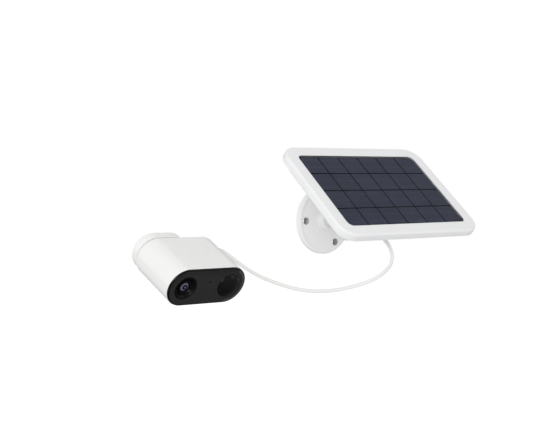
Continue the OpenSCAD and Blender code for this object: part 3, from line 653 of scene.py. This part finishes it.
def makePanelGlass():
    width, height = (side - 0.3 for side in panel["glass"])
    top, thick = panel["glassTop"], panel["glassThick"]
    profile = [(0.4, top - thick), (0, top - thick + 0.2), (0, top - 0.3), (0.08, top - 0.08), (0.3, top)]
    mesh = loftMesh(insetLoops(width, height, panel["glassCorner"], profile, 14), capFirst=True, capLast=True)
    piece = makePiece("coverGlass", mesh, made["panelGlass"], panelSpace, 30)
    return settle(piece, "panel_head", "panel_glass", "panel_glass")


def makeCells():
    # 24 thin wafers; the four at the corners follow the glass corner
    columns, rows = panel["cells"]
    fieldWidth, fieldHeight = (side - 2 * panel["cellBorder"] for side in panel["glass"])
    gap = panel["cellGap"]
    width = (fieldWidth + gap) / columns - gap
    height = (fieldHeight + gap) / rows - gap
    mesh = bmesh.new()
    tone = mesh.faces.layers.float.new("cellTone")
    chance = random.Random(3)
    for i in range(columns):
        for j in range(rows):
            x = -fieldWidth / 2 + width / 2 + i * (width + gap)
            y = -fieldHeight / 2 + height / 2 + j * (height + gap)
            corner = (i in (0, columns - 1)) and (j in (0, rows - 1))
            points = []
            for cx, cy in ((1, 1), (-1, 1), (-1, -1), (1, -1)):
                outside = corner and cx == (1 if i else -1) and cy == (1 if j else -1)
                r = panel["glassCorner"] - panel["cellBorder"] if outside else 0.4
                start = {(1, 1): 0, (-1, 1): 90, (-1, -1): 180, (1, -1): 270}[(cx, cy)]
                for k in range(9):
                    angle = math.radians(start + 90 * k / 8)
                    points.append((x + cx * (width / 2 - r) + r * math.cos(angle),
                                   y + cy * (height / 2 - r) + r * math.sin(angle)))
            top = [mesh.verts.new(Vector((px, py, panel["cellTop"] - 0.03)) * mm) for px, py in points]
            low = [mesh.verts.new(Vector((px, py, panel["cellTop"] - panel["cellThick"])) * mm) for px, py in points]
            shade = chance.uniform(0.1, 0.75)
            faces = [mesh.faces.new(top), mesh.faces.new(list(reversed(low)))]
            for k in range(len(points)):
                n = (k + 1) % len(points)
                faces.append(mesh.faces.new((low[k], low[n], top[n], top[k])))
            for face in faces:
                face[tone] = shade
    piece = makePiece("solarCells", mesh, made["siliconCell"], panelSpace)
    return settle(piece, "panel_head", "solar_cell", "solar_cells")


makePanelFrame()
makePanelGlass()
makeCells()
print("panel made")

# ---- wall disc and collar ----
disc = {
    "radius": 35, "thick": 6, "round": 2.2, "collar": 10, "collarLength": 13, "bore": 5.56,
    "holeCircle": 26.5, "holeAngles": (60, 180, 300), "hole": 2.2, "sink": 3.8,
}


def makeWallDisc():
    r, t, c = disc["radius"], disc["thick"], disc["round"]
    profile = [(disc["bore"], 0), (r - 0.5, 0), (r, 0.5)]
    profile += roundCorner((r - c, t - c), c, 0, 90, 8)
    # shallow step inside the rim, then a fillet up to the collar
    profile += [(r - 4.2, t), (r - 4.5, t - 0.12), (r - 4.8, t)]
    profile += [(disc["collar"] + 1.6, t)]
    profile += roundCorner((disc["collar"] + 1.6, t + 1.6), 1.6, 270, 180, 6)[1:]
    profile += roundCorner((disc["collar"] - 0.9, disc["collarLength"] - 0.9), 0.9, 0, 90, 5)
    profile += [(disc["bore"] + 0.4, disc["collarLength"]), (disc["bore"], disc["collarLength"] - 0.4)]
    piece = makePiece("wallDisc", latheMesh(profile, 96, closed=True), made["bracketPlastic"], faceOut)
    cutters = []
    for angle in disc["holeAngles"]:
        # seen from the front x stays x and the disc's local y is up
        at = Matrix.Translation((disc["holeCircle"] * mm * math.cos(math.radians(angle)),
                                 disc["holeCircle"] * mm * math.sin(math.radians(angle)), 0))
        hole = latheMesh([(0, -1), (disc["hole"], -1), (disc["hole"], t - 2.2), (disc["sink"], t - 0.25),
                          (disc["sink"], t + 1), (0, t + 1)], 40)
        cutters.append(turnedMesh(hole, at))
    cutters.append(latheMesh([(0, -1), (7.7, -1), (7.7, 3.6), (0, 3.6)], 48))
    cutAway(piece, *cutters)
    # the countersinks and bores of the screw holes get a darker grey: painted shade in the recesses
    piece.data.materials.append(made["paintedBoreShade"])
    for polygon in piece.data.polygons:
        centre = polygon.center / mm
        for angle in disc["holeAngles"]:
            x, y = (disc["holeCircle"] * f(math.radians(angle)) for f in (math.cos, math.sin))
            if math.hypot(centre.x - x, centre.y - y) < disc["sink"] and 0.1 < centre.z < t - 0.1:
                polygon.material_index = 1
    roundEdges(piece, 0.22, 2, 40)
    return settle(piece, "wall_mounts", "bracket_plastic", "bracket_base")


makeWallDisc()
print("wall disc made")

# ---- camera body ----
body = {
    "size": (83.6, 36.8), "wall": 2, "front": 1.8, "rear": 57, "rearRound": 3.6, "frontRound": 0.35,
    "packWidth": 51.8, "packHeight": 36, "packX": -14.5, "packRear": 66.8, "packRound": 3.4,
    "port": (35.5, 3.7, 9.5), "button": (3, 10, 3.06),
}


def stadiumLoops(width, height, profile, middle=0, steps=20):
    # loops of a shape with round ends, in the camera's x-z plane; profile: (inset, y)
    return [[(x + middle, y, z) for x, z in softLoop(width - 2 * i, height - 2 * i, height / 2 - i, steps)]
            for i, y in profile]


def makeShell():
    width, height = body["size"]
    r, f, w = body["rearRound"], body["frontRound"], body["wall"]
    profile = [(w, body["rear"] - w), (w, body["front"] + 0.2), (w - 0.2, body["front"]), (f, body["front"]),
               (f * 0.3, body["front"] + f * 0.3), (0, body["front"] + f)]
    profile += [(r - x, y) for x, y in roundCorner((0, body["rear"] - r), r, 0, 90, 8)]
    mesh = loftMesh(stadiumLoops(width, height, profile), capFirst=True, capLast=True)
    portX, portWidth, portHeight = body["port"]
    for side in (-1, 1):
        x = portX + side * 4.8
        joinMeshes(mesh, boxMesh((x - 0.6, body["rear"] - 0.6, -8.6), (x + 0.6, body["rear"] + 3.9, -5.4)))
    piece = makePiece("cameraShell", mesh, made["whitePlastic"], cameraSpace, 30)
    portCut = boxMesh((portX - portWidth / 2, body["rear"] - 4, -portHeight / 2),
                      (portX + portWidth / 2, body["rear"] + 2, portHeight / 2))
    buttonX, buttonY, buttonR = body["button"]
    buttonCut = turnedMesh(latheMesh([(0, -4), (buttonR, -4), (buttonR, 4), (0, 4)], 48),
                           Matrix.Translation((buttonX * mm, buttonY * mm, -height / 2 * mm)))
    cutAway(piece, portCut, buttonCut)
    piece.data.set_sharp_from_angle(angle=math.radians(30))
    return settle(piece, "camera_head", "white_plastic", "camera_shell")


def makePack():
    # the battery bulge behind the left of the body, with a fine seam where it meets the shell
    r = body["packRound"]
    w, seam = body["wall"], body["rear"] + 0.02
    profile = [(w, body["rear"] + 6), (w, seam), (0.2, seam), (0, body["rear"] + 0.25)]
    profile += [(r - x, y) for x, y in roundCorner((0, body["packRear"] - r), r, 0, 90, 8)]
    mesh = loftMesh(stadiumLoops(body["packWidth"], body["packHeight"], profile, body["packX"]),
                    capFirst=True, capLast=True)
    piece = makePiece("batteryPack", mesh, made["whitePlastic"], cameraSpace, 30)
    return settle(piece, "camera_head", "white_plastic", "battery_pack")


makeShell()
makePack()
print("camera body made")

# ---- front fascia ----
fascia = {
    "inset": 0.35, "spigot": 2.15, "rimReflection": 1.5, "proud": 1.8, "dish": 0.35, "dishInset": 3.4, "back": 3,
    "lensX": -23.4, "lensHole": 11.35, "sensorX": 23.2, "sensorHole": 11.55, "mic": (1.5, 4.6, 0.9),
}


def makeFascia():
    width, height = body["size"]
    i, r, d = fascia["inset"], fascia["rimReflection"], fascia["dish"]
    inner, proud, edge = fascia["spigot"], fascia["proud"], fascia["dishInset"]
    rimProfile = [(inner, fascia["back"]), (inner, proud + 0.02), (i, proud), (i, r)]
    faceProfile = [(i + r * (1 - math.cos(a)), r * (1 - math.sin(a)))
                   for a in (math.radians(90 * k / 8) for k in range(1, 9))]
    # soft step down to the dished face
    faceProfile += [(edge - 0.7, 0), (edge - 0.2, 0.12), (edge + 0.2, d - 0.06), (edge + 0.7, d)]
    mesh = loftMesh(stadiumLoops(width, height, rimProfile + faceProfile, steps=28),
                    capFirst=True, capLast=True)
    piece = makePiece("frontFascia", mesh, made["fasciaPlastic"], cameraSpace, 28)
    piece.data.materials.append(made["rimPlastic"])
    holes = []
    for x, z, radius in ((fascia["lensX"], 0, fascia["lensHole"]), (fascia["sensorX"], 0, fascia["sensorHole"]),
                         (fascia["mic"][0], fascia["mic"][1], fascia["mic"][2])):
        turned = Matrix.Translation((x * mm, 0, z * mm)) @ Matrix.Rotation(math.radians(-90), 4, "X")
        hole = latheMesh([(0, -3), (radius, -3), (radius, 6), (0, 6)], 64 if radius > 2 else 24)
        holes.append(turnedMesh(hole, turned))
    cutAway(piece, *holes)
    piece.data.materials.append(made["paintedBevelSheen"])
    for polygon in piece.data.polygons:
        # the glossy black rim outside the face, and a paler band on the lower right of the bevel that leads in to the
        # dish: a painted reflection
        x, z = polygon.center.x / mm, polygon.center.z / mm
        side = max(abs(x) - (width - height) / 2, 0)
        inward = height / 2 - math.hypot(side, z)
        if inward < fascia["inset"] + fascia["rimReflection"] * 0.8:
            polygon.material_index = 1
        # only the lower-right stretch of the bevel gets the paler painted reflection
        elif inward < edge + 0.1 and x - 0.55 * z > 22:
            polygon.material_index = 2
    piece.data.set_sharp_from_angle(angle=math.radians(28))
    return settle(piece, "camera_head", "fascia_plastic", "front_fascia")


makeFascia()
print("fascia made")

# ---- lens ----
lens = {"x": -23.4, "ring": 11.2, "cone": 9.8, "barrel": 7, "depth": 15, "glass": 4.6, "glassTop": 1.6, "steps": 4}
lensSpace = cameraSpace @ Matrix.Translation((lens["x"] * mm, 0, 0)) @ Matrix.Rotation(math.radians(-90), 4, "X")


def makeLens():
    # surround: rounded lip, then a stepped cone down to the barrel; local z runs into the body
    profile = [(lens["ring"], 0.5), (lens["ring"] - 0.15, 0.32), (lens["ring"] - 0.4, 0.28), (lens["cone"], 0.3)]
    for k in range(lens["steps"]):
        a = k / lens["steps"]
        b = (k + 0.72) / lens["steps"]
        profile += [(lens["cone"] - 2.5 * a - 0.12, 0.46 + 2.1 * a), (lens["cone"] - 2.5 * b, 0.5 + 2.1 * b)]
    profile += [(7.16, 2.62), (7.16, 4.5), (lens["ring"], 4.5)]
    ring = makePiece("lensSurround", latheMesh(profile, 96, closed=True), made["lensPlastic"], lensSpace, 25)
    settle(ring, "camera_head", "lens_plastic", "lens_ring")
    # barrel: front lip, knurl-like rings, retaining ring round the glass
    tube, deep = lens["barrel"], lens["depth"]
    profile = [(tube, deep), (tube, 1.75)] + roundCorner((tube - 0.4, 1.6), 0.4, 0, -90, 4)
    profile += [(6.2, 1.2), (6.05, 1.45), (5.9, 1.45), (5.75, 1.25), (5.55, 1.25), (5.35, 1.6), (5.1, 1.6),
                (4.95, 1.4), (4.78, 1.42), (4.75, 4), (3, 4), (3, deep)]
    barrel = makePiece("lensBarrel", latheMesh(profile, 96, closed=True), made["lensPlastic"], lensSpace, 25)
    settle(barrel, "camera_head", "lens_plastic", "lens_barrel")
    # front element: domed
    big, top = 1.6 * lens["glass"], lens["glassTop"]
    profile = [(0, 3.9), (lens["glass"] - 0.1, 3.9), (lens["glass"], 3.8)]
    edge = big - math.sqrt(big ** 2 - lens["glass"] ** 2)
    profile += [(lens["glass"], top + edge + 0.1)]
    for k in range(1, 15):
        radius = lens["glass"] * (1 - k / 14)
        profile.append((radius, top + big - math.sqrt(big ** 2 - radius ** 2)))
    glass = makePiece("frontLens", latheMesh(profile, 96), made["coatedLensPaintedReflections"], lensSpace, 40)
    settle(glass, "camera_head", "lens_glass", "lens_glass")


makeLens()
print("lens made")

# ---- motion sensor dome ----
dome = {"x": 23.2, "radius": 11.4, "height": 4.2, "wall": 1.2, "lip": 0.5}
domeSpace = cameraSpace @ Matrix.Translation((dome["x"] * mm, 0, 0)) @ Matrix.Rotation(math.radians(90), 4, "X")


def makeDome():
    # local z stands out of the face; a flange, then the cap
    r, h = dome["radius"], dome["height"]
    ball = (r ** 2 + h ** 2) / (2 * h)
    profile = [(r, -1.6), (r, -0.35), (r - 0.12, -0.1), (r - dome["lip"], 0.0)]
    for k in range(24):
        radius = (r - dome["lip"] - 0.15) * (1 - k / 23)
        profile.append((radius, h - ball + math.sqrt(ball ** 2 - radius ** 2) - 0.02))
    inside = ball - dome["wall"]
    for k in range(16):
        radius = (r - 1.3) * k / 15
        profile.append((radius, h - ball + math.sqrt(max(inside ** 2 - radius ** 2, 0))))
    profile += [(r - 1.3, -1.6)]
    mesh = latheMesh(profile, 96, closed=True)
    piece = makePiece("sensorDome", mesh, made["domePlastic"], domeSpace, 35)
    return settle(piece, "camera_head", "dome_plastic", "pir_dome")


makeDome()
print("dome made")

# ---- cable, gland and plug ----
def nearest(line, point):
    target = Vector(point) * mm
    return min(range(len(line)), key=lambda i: (line[i] - target).length)


gland = {"at": (-19, -30, -22.5), "root": 4.2, "tip": 2.65, "length": 11, "rings": 5}
glandSpace = (panelSpace @ Matrix.Translation(Vector(gland["at"]) * mm) @ Matrix.Rotation(math.radians(90), 4, "X"))


def makeGland():
    # soft strain relief with slots moulded round it; local z runs out of the box
    profile = [(0, -3), (2.3, -3), (2.3, -0.4), (gland["root"] + 0.3, -0.4), (gland["root"] + 0.5, 0),
               (gland["root"] + 0.5, 1.0), (gland["root"] + 0.2, 1.3)]
    taper = (gland["root"] - gland["tip"]) / gland["length"]
    for k in range(gland["rings"]):
        a, b = 1.5 + 9 * k / gland["rings"], 1.5 + 9 * (k + 0.55) / gland["rings"]
        wide, narrow = gland["root"] - taper * a, gland["root"] - taper * b
        profile += [(wide, a), (narrow, b), (narrow - 0.45, b + 0.1), (narrow - 0.5, b + 0.7)]
    profile += [(gland["tip"], gland["length"] - 0.3), (gland["tip"] - 0.25, gland["length"]), (0, gland["length"])]
    piece = makePiece("cableGland", latheMesh(profile, 48), made["softWhite"], glandSpace, 35)
    return settle(piece, "panel_head", "soft_white", "cable_gland")


plug = {"x": 35.5, "y": 57.6, "size": (7.2, 8.2, 10), "round": 1.5, "boot": 8, "bootRoot": 3.2, "bootTip": 2.4}


def makePlug():
    # angled plug body: soft rounded block with grip ribs, then the boot towards the cable
    sizeX, sizeY, sizeZ = plug["size"]
    loops = []
    profile = [(0.9, 0), (0.3, 0.2), (0, 0.7), (0, 1.6)]
    for k in range(4):
        y = 2.0 + 1.15 * k
        profile += [(0, y), (0.28, y + 0.2), (0.28, y + 0.5), (0, y + 0.7)]
    profile += [(0, sizeY - 1.4), (0.2, sizeY - 0.6), (0.6, sizeY - 0.2), (1.3, sizeY)]
    for inset, y in profile:
        loops.append([(x + plug["x"], y + plug["y"], z)
                      for x, z in softLoop(sizeX - 2 * inset, sizeZ - 2 * inset, plug["round"] * 1.3, 8)])
    mesh = loftMesh(loops, capFirst=True, capLast=True)
    boot = [(0, -1), (plug["bootRoot"] + 0.1, -1), (plug["bootRoot"] + 0.1, 0.5)]
    taper = (plug["bootRoot"] - plug["bootTip"]) / plug["boot"]
    for k in range(4):
        a, b = 0.8 + 1.7 * k, 0.8 + 1.7 * k + 1.0
        wide, narrow = plug["bootRoot"] - taper * a, plug["bootRoot"] - taper * b
        boot += [(wide, a), (narrow, b), (narrow - 0.35, b + 0.1), (narrow - 0.4, b + 0.5)]
    boot += [(plug["bootTip"], plug["boot"] - 0.3), (plug["bootTip"] - 0.2, plug["boot"]), (0, plug["boot"])]
    turned = (Matrix.Translation(((plug["x"] + sizeX / 2) * mm, (plug["y"] + sizeY / 2) * mm, 0))
              @ Matrix.Rotation(math.radians(90), 4, "Y"))
    joinMeshes(mesh, turnedMesh(latheMesh(boot, 48), turned))
    piece = makePiece("chargePlug", mesh, made["softWhite"], cameraSpace, 40)
    return settle(piece, "camera_head", "soft_white", "plug_boot")


makeGland()
plugPiece = makePlug()

# one cable in four stretches, each ending at the listed point
stretches = [
    {"name": "cableFromPanel", "to": (-27.5, -88, -58.8), "bodies": ("panel_head", "panel_arm"),
     "blend": ((-14.5, -106, -47), (-27.2, -88.3, -58.7)), "end": "object"},
    {"name": "cableDrop", "to": (-85.5, -63.5, -61.6), "bodies": ("panel_arm", "wall_mounts"),
     "blend": ((-27.5, -88, -58.8), (-85.2, -63.7, -61.7)), "end": "object"},
    {"name": "cableRun", "to": (-138, -40, -35.5), "bodies": ("wall_mounts", "camera_swivel"),
     "blend": ((-85.5, -63.5, -61.6), (-137.5, -40.5, -36)), "end": "object"},
    {"name": "cableToCamera", "to": (-158.9, -27.4, -22.1), "bodies": ("camera_swivel", "camera_head"),
     "blend": ((-138, -40, -35.5), (-155, -27.5, -22.4)), "end": "plug"},
]
begin = 0
for stretch in stretches:
    finishAt = nearest(cableLine, stretch["to"])
    part = cableLine[begin:finishAt + 1]
    piece = makePiece(stretch["name"], tubeMesh(part, cable["diameter"] * mm / 2, cable["sides"]),
                      made["cablePlastic"], sharp=50, flat=False)
    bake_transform(piece)
    if stretch["name"] == "cableDrop":
        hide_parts("cable")
    print(stretch["name"], round(lineLength(part), 4), "m")
    begin = finishAt
print("cable made")

# ---- mechanical and inner nodes keep their shape ----
keptNodes = {
    # finish: its nodes, and the rounding of their edges in mm
    "armPlasticShaded": {"arm_post": 0.7, "pivot_knob": 0.4, "panel_knuckle": 0.5, "lock_nut": 0.35},
    "steel": {"post_retainer": 0.15, "retainer_screw": 0.15, "pivot_pin": 0.4, "back_screws": 0.15,
              "plug_shell": 0.3, "ball_arm": 0.3, "pir_sensor": 0.3, "usb_port": 0.15, "flap_pin": 0.15,
              "button_spring": 0.1, "shell_screws_set": 0.2},
    "brass": {"stud_insert": 0.15, "socket_insert": 0.15, "antenna": 0.1},
    "backsheet": {"cell_backing": 0.1},
    "sealRubber": {"glass_gasket": 0.1, "pack_seal": 0.1, "fascia_seal": 0.1, "port_flap": 0.3},
    "framePlastic": {"panel_back": 0.5, "junction_cover": 0.6},
    "circuitBoard": {"junction_board": 0.1, "sensor_board": 0.1, "pir_board": 0.1, "main_board": 0.1},
    "bracketPlastic": {"camera_base": 0.3},
    "nylon": {"ball_liner": 0.1},
    "darkPlastic": {"ball_socket": 0.25, "socket_ring": 0.25, "speaker": 0.3},
    "chipPlastic": {"image_sensor": 0.15, "microphone": 0.15, "button_switch": 0.2},
    "lensPlastic": {"infrared_leds": 0.3},
    "cellWrap": {"battery_cells": 1.2},
    "trayPlastic": {"battery_tray": 0.15},
    "softWhite": {"reset_button": 0.15},
}
everyKept = [(finish, name, width) for finish, rows in keptNodes.items() for name, width in rows.items()]
for finish, nodeName, rounding in everyKept:
    node = nodes[nodeName]
    if not node.material_slots:
        node.data.materials.append(made[finish])
    for slot in node.material_slots:
        slot.link = "OBJECT"
        slot.material = made[finish]
    weld = node.modifiers.new("weld", "WELD")
    weld.merge_threshold = 0.000001
    flatten = node.modifiers.new("flatten", "DECIMATE")
    flatten.decimate_type, flatten.angle_limit = "DISSOLVE", math.radians(1)
    roundEdges(node, rounding, 3, 32)
print("kept nodes finished:", len(everyKept))

# ---- floor, light and world ----
stageLook = {"floorDrop": 0.42, "floorRadius": 6, "floor": rgb(250, 250, 250), "key": 8.0, "fill": 1.0,
             "soft": (0.85, 0.95, 0.80), "mirrored": (0.04, 0.10, 0.16)}  # sky brightness: below, level, above


def makeFloor():
    mesh = bmesh.new()
    bmesh.ops.create_circle(mesh, cap_ends=True, segments=96, radius=stageLook["floorRadius"])
    piece = makePiece("paleFloor", mesh, None)
    piece.location = (0, 0, -stageLook["floorDrop"])
    material, tree, shader = newMaterial("paleFloor")
    grain = useGroup(tree, fineGrain, Size=4.0, Waviness=0.6)
    colour = mixColour(tree, grain.outputs["Tone"], stageLook["floor"], rgb(248, 248, 248))
    tree.links.new(colour, shader.inputs["Base Color"])
    shader.inputs["Roughness"].default_value = 0.8
    shader.inputs["Specular IOR Level"].default_value = 0.1
    shader.inputs["Emission Color"].default_value = (1, 1, 1, 1)
    shader.inputs["Emission Strength"].default_value = 0.35
    piece.data.materials.append(material)
    piece.visible_glossy = piece.visible_diffuse = False


def makeLight(name, place, target, size, power, colour=(1, 1, 1)):
    data = bpy.data.lights.new(name, "AREA")
    data.shape, data.size, data.energy, data.color = "DISK", size, power, colour
    light = bpy.data.objects.new(name, data)
    light.location = place
    light.rotation_euler = (Vector(target) - Vector(place)).to_track_quat("-Z", "Y").to_euler()
    light.visible_camera = False
    scene.collection.objects.link(light)


def makeWorld():
    # white behind everything; the light itself is brighter from above than from below
    world = bpy.data.worlds.new("studio")
    scene.world = world
    world.use_nodes = True
    tree = world.node_tree
    tree.nodes.clear()
    out = tree.nodes.new("ShaderNodeOutputWorld")
    rays = tree.nodes.new("ShaderNodeLightPath")
    place = tree.nodes.new("ShaderNodeTexCoord")
    split = addNode(tree, "ShaderNodeSeparateXYZ")
    tree.links.new(place.outputs["Generated"], split.inputs[0])
    height = addNode(tree, "ShaderNodeMapRange", {"From Min": -1.0, "From Max": 1.0})
    tree.links.new(split.outputs["Z"], height.inputs["Value"])
    backgrounds = []
    for greys, strength in ((stageLook["soft"], 1.0), (stageLook["mirrored"], 1.0)):
        sky = addNode(tree, "ShaderNodeValToRGB")
        stops = sky.color_ramp.elements
        stops[0].position, stops[1].position = 0.0, 1.0
        middle = stops.new(0.5)
        for stop, value in ((stops[0], greys[0]), (middle, greys[1]), (stops[2], greys[2])):
            stop.color = (value, value, value, 1)
        tree.links.new(height.outputs[0], sky.inputs["Fac"])
        light = addNode(tree, "ShaderNodeBackground", {"Strength": strength})
        tree.links.new(sky.outputs["Color"], light.inputs["Color"])
        backgrounds.append(light)
    white = addNode(tree, "ShaderNodeBackground", {"Color": (1, 1, 1, 1), "Strength": 1.0})
    inner, mix = tree.nodes.new("ShaderNodeMixShader"), tree.nodes.new("ShaderNodeMixShader")
    tree.links.new(rays.outputs["Is Glossy Ray"], inner.inputs[0])
    tree.links.new(backgrounds[0].outputs[0], inner.inputs[1])
    tree.links.new(backgrounds[1].outputs[0], inner.inputs[2])
    tree.links.new(rays.outputs["Is Camera Ray"], mix.inputs[0])
    tree.links.new(inner.outputs[0], mix.inputs[1])
    tree.links.new(white.outputs[0], mix.inputs[2])
    tree.links.new(mix.outputs[0], out.inputs["Surface"])


makeFloor()
makeLight("keyLight", (-1.5, -0.9, 0.55), (-0.09, -0.06, 0), 1.0, stageLook["key"])
makeLight("fillLight", (1.1, -1.3, 0.5), (-0.09, -0.06, 0), 1.2, stageLook["fill"])
makeWorld()
scene.view_settings.view_transform = "Standard"
scene.view_settings.look = "None"
print("stage and lights made")
